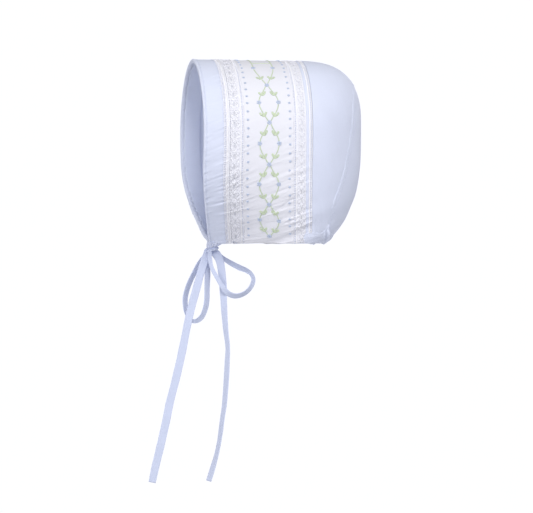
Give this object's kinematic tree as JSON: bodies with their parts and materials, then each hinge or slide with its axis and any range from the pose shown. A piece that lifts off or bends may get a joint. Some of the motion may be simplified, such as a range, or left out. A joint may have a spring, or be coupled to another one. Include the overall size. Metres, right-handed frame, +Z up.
{
  "type": "baby bonnet",
  "caption": "Soft cloth baby bonnet with a rounded crown, lace and embroidered strips, a horseshoe back and a tied bow.",
  "frame": {"origin": "where the top of the head meets the inside of the crown, 60 mm behind the face edge", "axes": "the face opening looks along -Y, the wearer's left side is +X, +Z is up"},
  "size_m": [0.1174, 0.1629, 0.3214],
  "materials": {
    "blue_cotton": "fine plain-woven pale blue cotton, soft",
    "inner_cotton": "fine plain-woven pale blue cotton, inner side",
    "white_cotton": "fine plain-woven white cotton with hand embroidery",
    "white_lace": "white cotton lace and ladder trim, matt",
    "tie_cotton": "folded pale blue cotton, soft"
  },
  "bodies": {
    "root": {"lining": "inner_cotton", "front_binding": "blue_cotton", "front_band": "blue_cotton", "ladder_trim_1": "white_lace", "lace_strip_front": "white_lace", "ladder_trim_2": "white_lace", "embroidered_panel": "white_cotton", "ladder_trim_3": "white_lace", "lace_strip_back": "white_lace", "ladder_trim_4": "white_lace", "crown_panel": "blue_cotton", "back_panel": "blue_cotton", "back_seam": "blue_cotton", "nape_casing": "blue_cotton", "bow_knot": "tie_cotton", "left_tie_tail": "tie_cotton", "left_tie_loop": "tie_cotton", "right_tie_tail": "tie_cotton", "right_tie_loop": "tie_cotton"}
  },
  "joints": []
}
